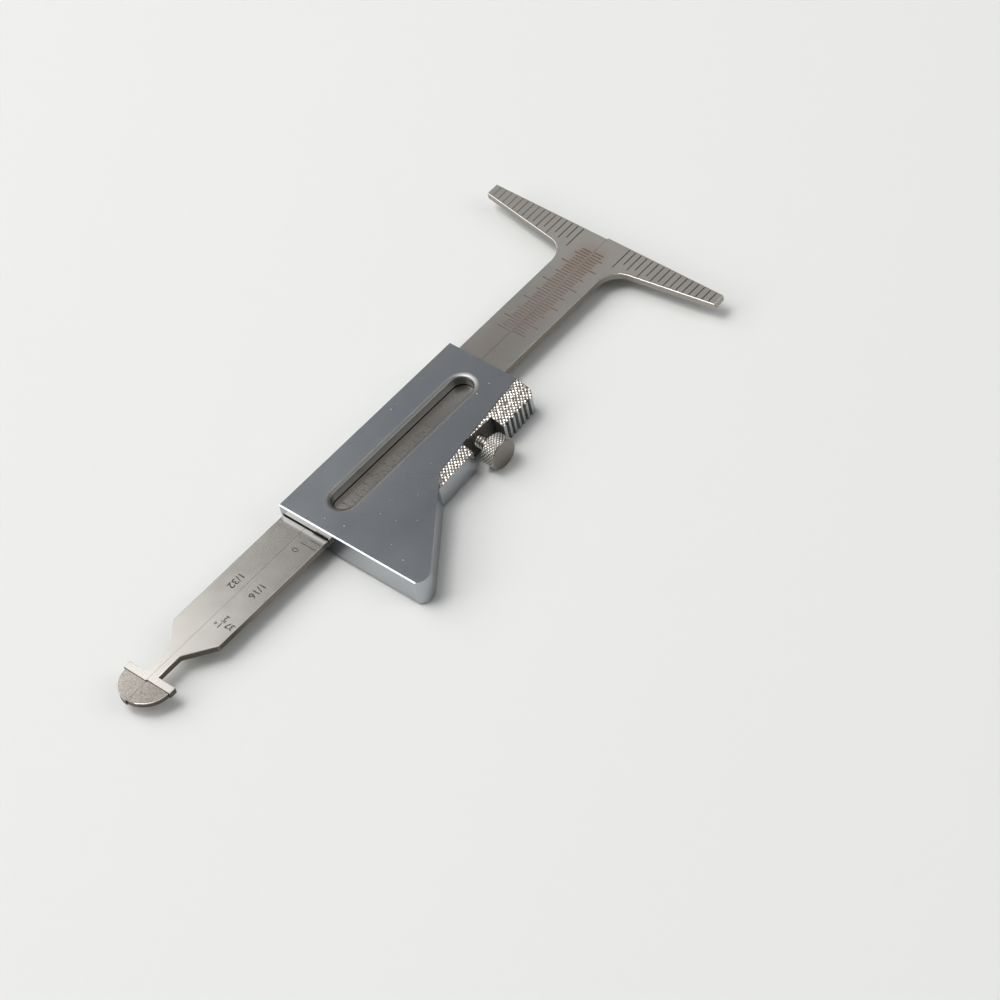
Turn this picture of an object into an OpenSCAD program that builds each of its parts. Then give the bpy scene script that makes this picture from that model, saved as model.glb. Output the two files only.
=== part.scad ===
// Weld gauge for pipe joints. Two half-blades slide side by side through a slide body, and a
// thumb screw in the body's edge clamps them. Millimetres. x = 0 is the split between the
// half-blades, y = 0 is the measuring base of the body and z = 0 is the back of the body.

/* [Half-blades] */
// Thickness of the half-blades
blade_t = 1.59; // [1:0.01:3]
// Width of the shank, both half-blades together
shank_w = 12.7; // [11:0.1:20]
// Free width of the split between the half-blades
split_gap = 0.06; // [0.04:0.01:0.2]
// How far the left half-blade stands ahead of the right one, towards the foot
left_lead = 0.3; // [0:0.1:3]

/* [Head] */
// Distance from the measuring base to the outer edge of the head
head_reach = 97; // [80:0.5:120]
// Length of the head from tip to tip
head_span = 63.5; // [45:0.5:80]
// Width of an arm of the head at its tip
arm_tip_w = 3.2; // [2.5:0.1:6]
// Slope of an arm's inner edge, in degrees
arm_slope = 8.5; // [0:0.5:15]
// Radius between an arm and the shank
root_r = 5; // [2:0.5:8]

/* [Foot] */
// Distance from the measuring base to the shoulders of the shank
shoulder_reach = 32.9; // [20:0.1:45]
// Bevel angle of the shoulders and of the body's slant, in degrees
bevel_angle = 37.5; // [30:0.5:45]
// Width of the neck, both half-blades together
neck_w = 3.1; // [2:0.1:6]
// Length of the neck
neck_len = 6.3; // [4.5:0.1:10]
// Width of the bar below the neck
bar_w = 1.75; // [1:0.05:4]
// Radius of the round foot below the bar
foot_r = 5.95; // [4:0.05:9]
// How far the foot is ground down below the bar
foot_step = 0.35; // [0.1:0.05:0.8]

/* [Scales] */
// Width of an engraved line
mark_w = 0.28; // [0.1:0.02:0.4]
// Depth of an engraved line
mark_d = 0.1; // [0.05:0.01:0.3]
// Bare rim between an engraved line and the edge that it starts from
mark_rim = 0.3; // [0.1:0.05:0.6]
// Longest line on the head, at a whole quarter inch
head_mark = 6; // [4.5:0.1:8]
// Shortest line on the head
head_mark_short = 4.1; // [2:0.1:4.4]
// Longest line along the split, at a whole quarter inch
split_mark = 4.3; // [3.2:0.1:4.8]
// Shortest line along the split
split_mark_short = 2.5; // [1:0.1:3]
// Distance from the head's outer edge to the zero of the split scale
split_zero = 3.4; // [2:0.1:8]
// Longest line along the right edge, at a whole quarter inch
edge_mark = 4.2; // [3.6:0.1:4.8]
// Shortest line along the right edge
edge_mark_short = 3; // [1:0.1:3.5]
// Distance from the measuring base down to the zero of the right edge's scale
edge_zero = 3.55; // [0:0.05:10]

/* [Slide body] */
// Length of the body along the shank
body_len = 53.5; // [48:0.5:70]
// Thickness of the body behind the blade slot
floor_t = 2.1; // [1:0.05:4]
// Thickness of the body in front of the blade slot
cover_t = 2.11; // [1:0.01:4]
// Wall on the left of the slot
left_wall = 0.5; // [0.4:0.05:3]
// Wall on the right of the slot at the body's top end
top_wall = 5.27; // [4:0.01:8]
// Wall on the right of the slot at the corner where the slant starts
corner_wall = 8.84; // [8.2:0.01:12]
// Height of that corner over the measuring base
corner_y = 25.2; // [20:0.1:28]
// Chamfer along the front edge of the measuring base
base_chamfer = 0.25; // [0.1:0.05:0.8]
// Radius of the nose at the end of the slant
nose_r = 2.8; // [1:0.1:4]
// How far the nose's arc turns on past square to the base, in degrees
nose_turn = 60; // [20:1:80]

/* [Thumb edge] */
// Width of the ledge at the corner where the slant starts
ledge_w = 2.3; // [1:0.1:4]
// Lean of the ledge's outer face, in degrees
ledge_lean = 4; // [0:0.5:8]
// Slope of the ledge's knurled top, in degrees
ledge_slope = 20; // [5:1:30]
// How far the thumb block stands out past the ledge
block_proud = 1.05; // [0:0.05:3]
// Cut at the outer corner of the thumb block
block_cut = 1.2; // [0.2:0.1:3]
// Number of serrations on the thumb block
serration_count = 6; // [2:1:7]
// Spacing of the serrations
serration_pitch = 1.45; // [1:0.05:1.6]
// Depth of the serrations
serration_d = 0.45; // [0.1:0.05:0.6]

/* [Window] */
// Width of the window over the right half-blade
window_w = 5.7; // [3:0.1:6]
// Distance from the measuring base to the window
window_low = 6.1; // [4:0.1:15]
// Distance from the window to the body's top end
window_high = 5.3; // [4:0.1:15]
// Width of the lip around the window
lip_w = 1; // [0.2:0.1:2]
// Depth of the lip at the window
lip_d = 0.4; // [0.1:0.05:0.8]

/* [Thumb screw] */
// Height of the screw over the measuring base
screw_y = 38; // [34:0.1:40]
// Diameter of the screw's shank
screw_d = 2.84; // [2:0.01:4]
// Diameter of the screw's head
head_d = 7.14; // [5:0.02:9]
// Thickness of the screw's head
head_t = 3.3; // [2:0.1:6]
// Chamfer on the rims of the head
head_chamfer = 0.3; // [0.1:0.05:0.6]
// How far the head stands off the wall that the screw runs in
head_gap = 3.55; // [3.3:0.05:5]
// Wall that the screw runs in, from the slot to the notch
boss_wall = 7.77; // [6.5:0.01:8]
// Room in the notch on each side of the head
notch_room = 0.98; // [0.5:0.02:1.2]

/* [Clearances] */
// Between a half-blade and the side of the slot
side_clear = 0.08; // [0.05:0.01:0.3]
// Between a half-blade and the floor of the slot
seat_clear = 0.05; // [0.03:0.01:0.2]
// Over a half-blade in the slot
top_clear = 0.5; // [0.1:0.05:0.8]
// Around the screw in its hole
screw_clear = 0.05; // [0.02:0.01:0.1]
// Between the screw's tip and the right half-blade
tip_clear = 0.25; // [0.05:0.01:0.6]

/* [Hidden] */
$fn = 96;
inch = 25.4;
cut = 1; // how far a cutting shape runs past the face that it cuts

half_w = shank_w / 2;
half_neck = neck_w / 2;
half_split = split_gap / 2;
blade_z = floor_t + seat_clear;
blade_top = blade_z + blade_t;

// Foot, as distances down from the measuring base
bevel_drop = (half_w - half_neck) / tan(bevel_angle);
bar_reach = shoulder_reach + bevel_drop + neck_len;
foot_reach = bar_reach + bar_w;

// Where an arm's inner edge and the shank's edge would meet without the root radius
root_y = head_reach - arm_tip_w - (head_span / 2 - half_w) * tan(arm_slope);
root_tangent = root_r / tan(45 + arm_slope / 2);

// Slot and plan of the body
slot_x = half_w + side_clear;
slot_h = seat_clear + blade_t + top_clear;
body_t = floor_t + slot_h + cover_t;
left_x = -slot_x - left_wall;
top_x = slot_x + top_wall;
corner_x = slot_x + corner_wall;
edge_lean = atan((corner_x - top_x) / (body_len - corner_y));

// The nose's arc touches the slant and ends on the measuring base
nose_y = nose_r * sin(nose_turn);
slant_end_y = nose_y + nose_r * sin(bevel_angle);
slant_end_x = slant_x(slant_end_y);
nose_x = slant_end_x - nose_r * cos(bevel_angle);
base_x = nose_x + nose_r * cos(nose_turn);

// Thumb edge
ledge_end_y = corner_y - ledge_w / (tan(bevel_angle) - tan(ledge_lean));
notch_x = slot_x + boss_wall;
notch_low = screw_y - head_d / 2 - notch_room;
notch_high = screw_y + head_d / 2 + notch_room;
block_face = body_len - block_cut - notch_high;
serration_low = notch_high + (block_face - (serration_count - 1) * serration_pitch) / 2;

// Window, over the middle of the right half-blade
window_x = half_w / 2;
window_r = window_w / 2;
window_y0 = window_low + window_r;
window_y1 = body_len - window_high - window_r;

// Screw, along x and level with the middle of the half-blades
screw_z = blade_z + blade_t / 2;
screw_tip = half_w + tip_clear;
screw_len = notch_x + head_gap - screw_tip;

// Plan positions along the slant and along the ledge's outer face
function slant_x(y) = corner_x + (corner_y - y) * tan(bevel_angle);
function ledge_x(y) = corner_x + ledge_w - (y - corner_y) * tan(ledge_lean);
function block_x(y) = ledge_x(y) + block_proud;

// Length of line i of a scale with n lines to the quarter inch
function mark_len(i, n, longest, shortest) =
  i % n == 0 ? longest : i % (n / 2) == 0 ? (longest + shortest) / 2 : shortest;

// Plan of the right half-blade down to its bar
module half_blade_plan() {
  difference() {
    polygon([
      [half_split, head_reach],
      [head_span / 2, head_reach],
      [head_span / 2, head_reach - arm_tip_w],
      [half_w + root_tangent * cos(arm_slope), root_y + root_tangent * sin(arm_slope)],
      [half_w, root_y - root_tangent],
      [half_w, -shoulder_reach],
      [half_neck, -shoulder_reach - bevel_drop],
      [half_neck, -bar_reach],
      [half_w, -bar_reach],
      [half_w, -foot_reach],
      [half_split, -foot_reach],
    ]);
    translate([half_w + root_r, root_y - root_tangent]) circle(r = root_r);
  }
}

// Quarter of the round foot that belongs to the right half-blade
module foot_plan() {
  intersection() {
    translate([0, -foot_reach]) circle(r = foot_r);
    translate([half_split, -foot_reach - foot_r - cut]) square([foot_r + cut, foot_r + cut + bar_w / 2]);
  }
}

// One half-blade without scales, on the right of the split
module half_blade() {
  translate([0, 0, blade_z]) {
    linear_extrude(blade_t) half_blade_plan();
    linear_extrude(blade_t - foot_step) foot_plan();
  }
}

// Cutter for one engraved line with its low corner at (x, y)
module mark(x, y, dx, dy) {
  translate([x, y, blade_top - mark_d]) cube([dx, dy, mark_d + cut]);
}

// Sixteenths of an inch along the head, counted from the tip
module head_scale() {
  pitch = inch / 16;
  for (i = [1 : floor((head_span / 2 - half_w) / pitch + 0.01)]) {
    arm_w = arm_tip_w + i * pitch * tan(arm_slope);
    length = min(mark_len(i, 4, head_mark, head_mark_short), arm_w - 2 * mark_rim);
    mark(head_span / 2 - i * pitch - mark_w / 2, head_reach - mark_rim - length, mark_w, length);
  }
}

// Thirty-seconds of an inch along the split, for the step between the two half-blades
module split_scale() {
  pitch = inch / 32;
  for (i = [2 : 36]) {
    y = head_reach - split_zero - i * pitch;
    length = mark_len(i, 8, split_mark, split_mark_short);
    mark(half_split + mark_rim, y - mark_w / 2, length, mark_w);
  }
}

// Sixteenths of an inch up the right edge, for the wall that the foot hooks under
module edge_scale() {
  pitch = inch / 16;
  for (i = [0 : 24]) {
    length = mark_len(i, 4, edge_mark, edge_mark_short);
    mark(half_w - mark_rim - length, i * pitch - edge_zero - mark_w / 2, length, mark_w);
  }
}

module right_blade() {
  color([0.68, 0.67, 0.64]) difference() {
    half_blade();
    head_scale();
    split_scale();
    edge_scale();
  }
}

module left_blade() {
  color([0.68, 0.67, 0.64]) translate([0, -left_lead, 0]) mirror([1, 0, 0]) difference() {
    half_blade();
    head_scale();
    split_scale();
  }
}

// Plan of the body's flat front, with the slant and the nose
module body_plan() {
  difference() {
    union() {
      polygon([
        [left_x, 0],
        [base_x, 0],
        [slant_end_x, slant_end_y],
        [corner_x, corner_y],
        [top_x, body_len],
        [left_x, body_len],
      ]);
      translate([nose_x, nose_y]) circle(r = nose_r);
    }
    translate([nose_x - nose_r - cut, -nose_r - cut]) square([2 * (nose_r + cut), nose_r + cut]);
  }
}

// Plan of the ledge beside the flat front, with the notch and the thumb block
module ledge_plan() {
  polygon([
    [top_x - top_wall / 2, ledge_end_y],
    [slant_x(ledge_end_y), ledge_end_y],
    [ledge_x(notch_low), notch_low],
    [notch_x, notch_low],
    [notch_x, notch_high],
    [block_x(notch_high), notch_high],
    [block_x(body_len - block_cut), body_len - block_cut],
    [block_x(body_len) - block_cut, body_len],
    [top_x - top_wall / 2, body_len],
  ]);
}

// Half-space over the ledge's sloping top
module ledge_slope_cut() {
  size = 2 * body_len;
  translate([corner_x, corner_y, body_t]) rotate([0, ledge_slope, edge_lean])
    translate([-size / 2, -size / 2, 0]) cube(size);
}

module serrations() {
  side = serration_d * sqrt(2);
  for (i = [0 : serration_count - 1]) {
    y = serration_low + i * serration_pitch;
    translate([block_x(y), y, body_t / 2]) rotate(45) cube([side, side, body_t + 2 * cut], center = true);
  }
}

// Opening over the right half-blade, with round ends and a sloping lip
module window_cut() {
  run = window_y1 - window_y0;
  lip_z = body_t - lip_d;
  lip_r = window_r + lip_w;
  translate([window_x, window_y0, body_t - cover_t - cut]) {
    for (y = [0, run]) translate([0, y, 0]) cylinder(r = window_r, h = cover_t + 2 * cut);
    translate([-window_r, 0, 0]) cube([window_w, run, cover_t + 2 * cut]);
  }
  for (y = [window_y0, window_y1])
    translate([window_x, y, lip_z]) cylinder(r1 = window_r, r2 = lip_r, h = lip_d);
  translate([window_x, window_y1, 0]) rotate([90, 0, 0]) linear_extrude(run)
    polygon([[-window_r, lip_z], [window_r, lip_z], [lip_r, body_t], [-lip_r, body_t]]);
}

module base_chamfer_cut() {
  side = base_chamfer * sqrt(2);
  length = nose_x + nose_r - left_x + 2 * cut;
  translate([left_x - cut + length / 2, 0, body_t]) rotate([45, 0, 0]) cube([length, side, side], center = true);
}

module screw_hole() {
  translate([slot_x - cut, screw_y, screw_z]) rotate([0, 90, 0])
    cylinder(d = screw_d + 2 * screw_clear, h = boss_wall + 2 * cut);
}

module slide_body() {
  color([0.45, 0.46, 0.48]) difference() {
    union() {
      linear_extrude(body_t) body_plan();
      difference() {
        linear_extrude(body_t) ledge_plan();
        ledge_slope_cut();
      }
    }
    translate([-slot_x, -cut, floor_t]) cube([2 * slot_x, body_len + 2 * cut, slot_h]);
    window_cut();
    base_chamfer_cut();
    serrations();
    screw_hole();
  }
}

module thumb_screw() {
  r = screw_d / 2;
  head_r = head_d / 2;
  end = screw_len + head_t;
  color([0.62, 0.6, 0.57]) translate([screw_tip, screw_y, screw_z]) rotate([0, 90, 0])
    rotate_extrude() polygon([
      [0, 0],
      [r - head_chamfer, 0],
      [r, head_chamfer],
      [r, screw_len],
      [head_r - head_chamfer, screw_len],
      [head_r, screw_len + head_chamfer],
      [head_r, end - head_chamfer],
      [head_r - head_chamfer, end],
      [0, end],
    ]);
}

slide_body();
left_blade();
right_blade();
thumb_screw();
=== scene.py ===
import bpy
import bmesh
import random
from math import cos, pi, radians, sin, tan
from mathutils import Matrix, Quaternion, Vector


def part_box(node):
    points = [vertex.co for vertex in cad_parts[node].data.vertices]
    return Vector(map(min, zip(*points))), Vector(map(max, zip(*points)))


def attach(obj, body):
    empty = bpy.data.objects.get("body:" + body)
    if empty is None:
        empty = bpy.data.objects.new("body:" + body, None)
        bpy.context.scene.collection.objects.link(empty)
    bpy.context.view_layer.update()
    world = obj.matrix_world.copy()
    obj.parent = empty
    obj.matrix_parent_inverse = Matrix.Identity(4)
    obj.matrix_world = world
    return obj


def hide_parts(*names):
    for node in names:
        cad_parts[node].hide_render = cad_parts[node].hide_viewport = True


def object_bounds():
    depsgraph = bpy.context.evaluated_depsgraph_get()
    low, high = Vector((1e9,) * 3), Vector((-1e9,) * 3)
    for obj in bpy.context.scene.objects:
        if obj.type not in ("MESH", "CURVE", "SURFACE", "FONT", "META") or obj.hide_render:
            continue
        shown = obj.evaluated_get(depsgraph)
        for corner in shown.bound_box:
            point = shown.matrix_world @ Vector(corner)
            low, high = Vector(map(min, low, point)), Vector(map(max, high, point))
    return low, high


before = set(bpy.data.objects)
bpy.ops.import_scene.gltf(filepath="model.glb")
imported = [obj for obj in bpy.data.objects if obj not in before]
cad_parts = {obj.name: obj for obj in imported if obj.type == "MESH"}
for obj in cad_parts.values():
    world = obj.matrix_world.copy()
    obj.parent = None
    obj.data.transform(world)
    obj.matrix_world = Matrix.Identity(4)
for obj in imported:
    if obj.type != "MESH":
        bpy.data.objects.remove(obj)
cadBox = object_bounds()
mm = 0.001
touching = 0.001 * mm  # points nearer than this are one point
flatAngle = radians(0.3)  # faces nearer than this are one face
print("frame loaded:", ", ".join(sorted(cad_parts)))


def linear(hexColour):
    # sRGB hex to the linear colour that the shader wants
    parts = [int(hexColour[i:i + 2], 16) / 255 for i in (1, 3, 5)]
    return [p / 12.92 if p <= 0.04045 else ((p + 0.055) / 1.055) ** 2.4 for p in parts] + [1.0]


def addNode(tree, kind, inputs=None, **settings):
    # one node with its settings; an input is a value or another node's output
    node = tree.nodes.new(kind)
    for key, value in settings.items():
        setattr(node, key, value)
    for key, value in (inputs or {}).items():
        if isinstance(value, bpy.types.NodeSocket):
            tree.links.new(value, node.inputs[key])
        else:
            node.inputs[key].default_value = value
    return node


def startMaterial(name):
    material = bpy.data.materials.new(name)
    material.use_nodes = True
    tree = material.node_tree
    shader = tree.nodes["Principled BSDF"]
    place = addNode(tree, "ShaderNodeTexCoord").outputs["Object"]
    return material, tree, shader, place


# Lapped stainless steel: the body's faces are ground flat and rubbed nearly bright,
# so they mirror the room softly, with a faint haze, hairlines and a little dust
def lappedSteel(name, light, dark, smooth, rubbed):
    look = {"light": light, "dark": dark, "dust": "#dddbd6", "hazeMm": 14,
            "hairMm": 0.35, "hairLengthMm": 30, "hairTurn": 24, "hairBump": 0.006, "hairDepthMm": 0.02,
            "dustCellMm": 4.2, "dustMm": 0.13, "smallestDust": 0.45, "dustShare": 0.28}
    material, tree, shader, place = startMaterial(name)
    haze = addNode(tree, "ShaderNodeTexNoise", {
        "Vector": place, "Scale": 1 / (look["hazeMm"] * mm), "Detail": 4.0, "Roughness": 0.6})
    fine, drawn = 1 / (look["hairMm"] * mm), 1 / (look["hairLengthMm"] * mm)
    stretch = addNode(tree, "ShaderNodeMapping", {
        "Vector": place, "Scale": (fine, drawn, fine), "Rotation": (0, 0, radians(look["hairTurn"]))})
    hairs = addNode(tree, "ShaderNodeTexNoise", {
        "Vector": stretch.outputs["Vector"], "Scale": 1.0, "Detail": 3.0, "Roughness": 0.7})
    tone = addNode(tree, "ShaderNodeMix", {
        "Factor": haze.outputs["Fac"], 6: linear(look["dark"]), 7: linear(look["light"])}, data_type="RGBA")
    # the flat top is a little darker towards the base end and towards the thumb edge, and the other faces are
    # slightly lighter
    facing = addNode(tree, "ShaderNodeSeparateXYZ", {
        "Vector": addNode(tree, "ShaderNodeNewGeometry").outputs["Normal"]})
    onTop = addNode(tree, "ShaderNodeMapRange", {
        "Value": facing.outputs["Z"], "From Min": 0.75, "From Max": 0.95})
    along = addNode(tree, "ShaderNodeSeparateXYZ", {"Vector": place})
    topTone = addNode(tree, "ShaderNodeMapRange", {
        "Value": along.outputs["Y"], "From Min": 0.0, "From Max": 62 * mm, "To Min": 0.86, "To Max": 1.07})
    thumbwardTone = addNode(tree, "ShaderNodeMapRange", {
        "Value": along.outputs["X"], "From Min": -8 * mm, "From Max": 18 * mm,
        "To Min": 1.12, "To Max": 0.87})
    topTone = addNode(tree, "ShaderNodeMath", {
        0: topTone.outputs[0], 1: thumbwardTone.outputs[0]}, operation="MULTIPLY")
    topTone = addNode(tree, "ShaderNodeMix", {"Factor": onTop.outputs[0], 2: 1.06, 3: topTone.outputs[0]})
    tone = addNode(tree, "ShaderNodeVectorMath", {
        0: tone.outputs[2], "Scale": topTone.outputs[0]}, operation="SCALE")
    # dust lies on the upward faces, with a speck in about one cell of four
    cells = addNode(tree, "ShaderNodeTexVoronoi", {
        "Vector": place, "Scale": 1 / (look["dustCellMm"] * mm)}, voronoi_dimensions="2D")
    pick = addNode(tree, "ShaderNodeSeparateColor", {"Color": cells.outputs["Color"]})
    grade = addNode(tree, "ShaderNodeMapRange", {
        "Value": pick.outputs["Green"], "From Min": 0.5, "From Max": 1.0,
        "To Min": look["smallestDust"] * look["dustMm"] / look["dustCellMm"],
        "To Max": look["dustMm"] / look["dustCellMm"]})
    speck = addNode(tree, "ShaderNodeMath", {
        0: cells.outputs["Distance"], 1: grade.outputs[0]}, operation="LESS_THAN")
    rare = addNode(tree, "ShaderNodeMath", {
        0: pick.outputs["Red"], 1: 1 - look["dustShare"]}, operation="GREATER_THAN")
    upward = addNode(tree, "ShaderNodeMath", {0: facing.outputs["Z"], 1: 0.9}, operation="GREATER_THAN")
    dust = addNode(tree, "ShaderNodeMath", {0: speck.outputs[0], 1: rare.outputs[0]}, operation="MULTIPLY")
    dust = addNode(tree, "ShaderNodeMath", {0: dust.outputs[0], 1: upward.outputs[0]}, operation="MULTIPLY")
    colour = addNode(tree, "ShaderNodeMix", {
        "Factor": dust.outputs[0], 6: tone.outputs[0], 7: linear(look["dust"])}, data_type="RGBA")
    tree.links.new(colour.outputs[2], shader.inputs["Base Color"])
    metal = addNode(tree, "ShaderNodeMath", {0: 1.0, 1: dust.outputs[0]}, operation="SUBTRACT")
    tree.links.new(metal.outputs[0], shader.inputs["Metallic"])
    rough = addNode(tree, "ShaderNodeMapRange", {
        "Value": haze.outputs["Fac"], "From Min": 0.3, "From Max": 0.7, "To Min": smooth, "To Max": rubbed})
    tree.links.new(rough.outputs[0], shader.inputs["Roughness"])
    bump = addNode(tree, "ShaderNodeBump", {
        "Height": hairs.outputs["Fac"], "Strength": look["hairBump"], "Distance": look["hairDepthMm"] * mm})
    tree.links.new(bump.outputs["Normal"], shader.inputs["Normal"])
    return material


# Surface-ground stainless steel: a grinding wheel leaves fine lines along the blade,
# so it is satin, warmer than the body, and browned a little round the split scale
def groundSteel():
    look = {"light": "#b8b4ae", "dark": "#a8a49e", "brown": "#8f796c", "brownShare": 0.6,
            "side": "#837c75", "headSide": "#aaa49d", "footSide": "#59534c", "cloudMm": 9,
            "lineMm": 0.3, "lineLengthMm": 25, "grainMm": 0.35, "grainShare": 0.5,
            "bump": 0.05, "bumpMm": 0.03}
    material, tree, shader, place = startMaterial("surface-ground stainless steel")
    cloud = addNode(tree, "ShaderNodeTexNoise", {
        "Vector": place, "Scale": 1 / (look["cloudMm"] * mm), "Detail": 5.0, "Roughness": 0.62})
    fine, drawn = 1 / (look["lineMm"] * mm), 1 / (look["lineLengthMm"] * mm)
    stretch = addNode(tree, "ShaderNodeMapping", {"Vector": place, "Scale": (fine, drawn, fine)})
    lines = addNode(tree, "ShaderNodeTexNoise", {
        "Vector": stretch.outputs["Vector"], "Scale": 1.0, "Detail": 4.0, "Roughness": 0.7})
    grain = addNode(tree, "ShaderNodeTexNoise", {
        "Vector": place, "Scale": 1 / (look["grainMm"] * mm), "Detail": 3.0})
    tone = addNode(tree, "ShaderNodeMix", {
        "Factor": cloud.outputs["Fac"], 6: linear(look["dark"]), 7: linear(look["light"])}, data_type="RGBA")
    # painted sheen and shade: the blade is lighter at the foot and darker from there up to the window, sooner
    # on the right
    split = addNode(tree, "ShaderNodeSeparateXYZ", {"Vector": place})
    lean = addNode(tree, "ShaderNodeMapRange", {
        "Value": split.outputs["X"], "From Min": -6 * mm, "From Max": 6 * mm,
        "To Min": -18 * mm, "To Max": 18 * mm})
    slanting = addNode(tree, "ShaderNodeMath", {0: lean.outputs[0], 1: split.outputs["Y"]}, operation="ADD")
    paintedSheenAndShade = addNode(tree, "ShaderNodeMapRange", {
        "Value": slanting.outputs[0], "From Min": -46 * mm, "From Max": 20 * mm,
        "To Min": 1.26, "To Max": 0.8})
    tone = addNode(tree, "ShaderNodeVectorMath", {
        0: tone.outputs[2], "Scale": paintedSheenAndShade.outputs[0]}, operation="SCALE")
    # the brown lies within about 6 mm of the split, from the body up to the head
    across = addNode(tree, "ShaderNodeMath", {0: split.outputs["X"]}, operation="ABSOLUTE")
    near = addNode(tree, "ShaderNodeMapRange", {
        "Value": across.outputs[0], "From Min": 0.5 * mm, "From Max": 6.3 * mm, "To Min": 1.0, "To Max": 0.0},
        interpolation_type="SMOOTHSTEP")
    along = addNode(tree, "ShaderNodeMapRange", {
        "Value": split.outputs["Y"], "From Min": 46 * mm, "From Max": 70 * mm},
        interpolation_type="SMOOTHSTEP")
    top = addNode(tree, "ShaderNodeMapRange", {
        "Value": split.outputs["Y"], "From Min": 91 * mm, "From Max": 96 * mm, "To Min": 1.0, "To Max": 0.0},
        interpolation_type="SMOOTHSTEP")
    patch = addNode(tree, "ShaderNodeMapRange", {
        "Value": cloud.outputs["Fac"], "From Min": 0.32, "From Max": 0.64})
    brown = addNode(tree, "ShaderNodeMath", {0: near.outputs[0], 1: along.outputs[0]}, operation="MULTIPLY")
    brown = addNode(tree, "ShaderNodeMath", {0: brown.outputs[0], 1: top.outputs[0]}, operation="MULTIPLY")
    brown = addNode(tree, "ShaderNodeMath", {0: brown.outputs[0], 1: patch.outputs[0]}, operation="MULTIPLY")
    brown = addNode(tree, "ShaderNodeMath", {
        0: brown.outputs[0], 1: look["brownShare"]}, operation="MULTIPLY")
    colour = addNode(tree, "ShaderNodeMix", {
        "Factor": brown.outputs[0], 6: tone.outputs[0], 7: linear(look["brown"])}, data_type="RGBA")
    # the cut edges are duller and darker than the ground faces, most at the foot; on the head they are lighter,
    # as painted light
    footward = addNode(tree, "ShaderNodeMapRange", {
        "Value": split.outputs["Y"], "From Min": -22 * mm, "From Max": -28 * mm})
    edgeTone = addNode(tree, "ShaderNodeMix", {
        "Factor": footward.outputs[0], 6: linear(look["side"]), 7: linear(look["footSide"])},
        data_type="RGBA")
    headward = addNode(tree, "ShaderNodeMapRange", {
        "Value": split.outputs["Y"], "From Min": 84 * mm, "From Max": 94 * mm})
    edgeTone = addNode(tree, "ShaderNodeMix", {
        "Factor": headward.outputs[0], 6: edgeTone.outputs[2], 7: linear(look["headSide"])}, data_type="RGBA")
    facing = addNode(tree, "ShaderNodeSeparateXYZ", {
        "Vector": addNode(tree, "ShaderNodeNewGeometry").outputs["Normal"]})
    level = addNode(tree, "ShaderNodeMath", {0: facing.outputs["Z"]}, operation="ABSOLUTE")
    flat = addNode(tree, "ShaderNodeMapRange", {"Value": level.outputs[0], "From Min": 0.25, "From Max": 0.7})
    colour = addNode(tree, "ShaderNodeMix", {
        "Factor": flat.outputs[0], 6: edgeTone.outputs[2], 7: colour.outputs[2]}, data_type="RGBA")
    tree.links.new(colour.outputs[2], shader.inputs["Base Color"])
    shader.inputs["Metallic"].default_value = 1.0
    # brightest at the foot, duller towards the head
    dull = addNode(tree, "ShaderNodeMapRange", {
        "Value": split.outputs["Y"], "From Min": 35 * mm, "From Max": 95 * mm,
        "To Min": 0.17, "To Max": 0.42})
    rough = addNode(tree, "ShaderNodeMath", {
        0: cloud.outputs["Fac"], 1: 0.06, 2: dull.outputs[0]}, operation="MULTIPLY_ADD")
    tree.links.new(rough.outputs[0], shader.inputs["Roughness"])
    marks = addNode(tree, "ShaderNodeMath", {
        0: grain.outputs["Fac"], 1: look["grainShare"], 2: lines.outputs["Fac"]}, operation="MULTIPLY_ADD")
    bump = addNode(tree, "ShaderNodeBump", {
        "Height": marks.outputs[0], "Strength": look["bump"], "Distance": look["bumpMm"] * mm})
    tree.links.new(bump.outputs["Normal"], shader.inputs["Normal"])
    return material


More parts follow.
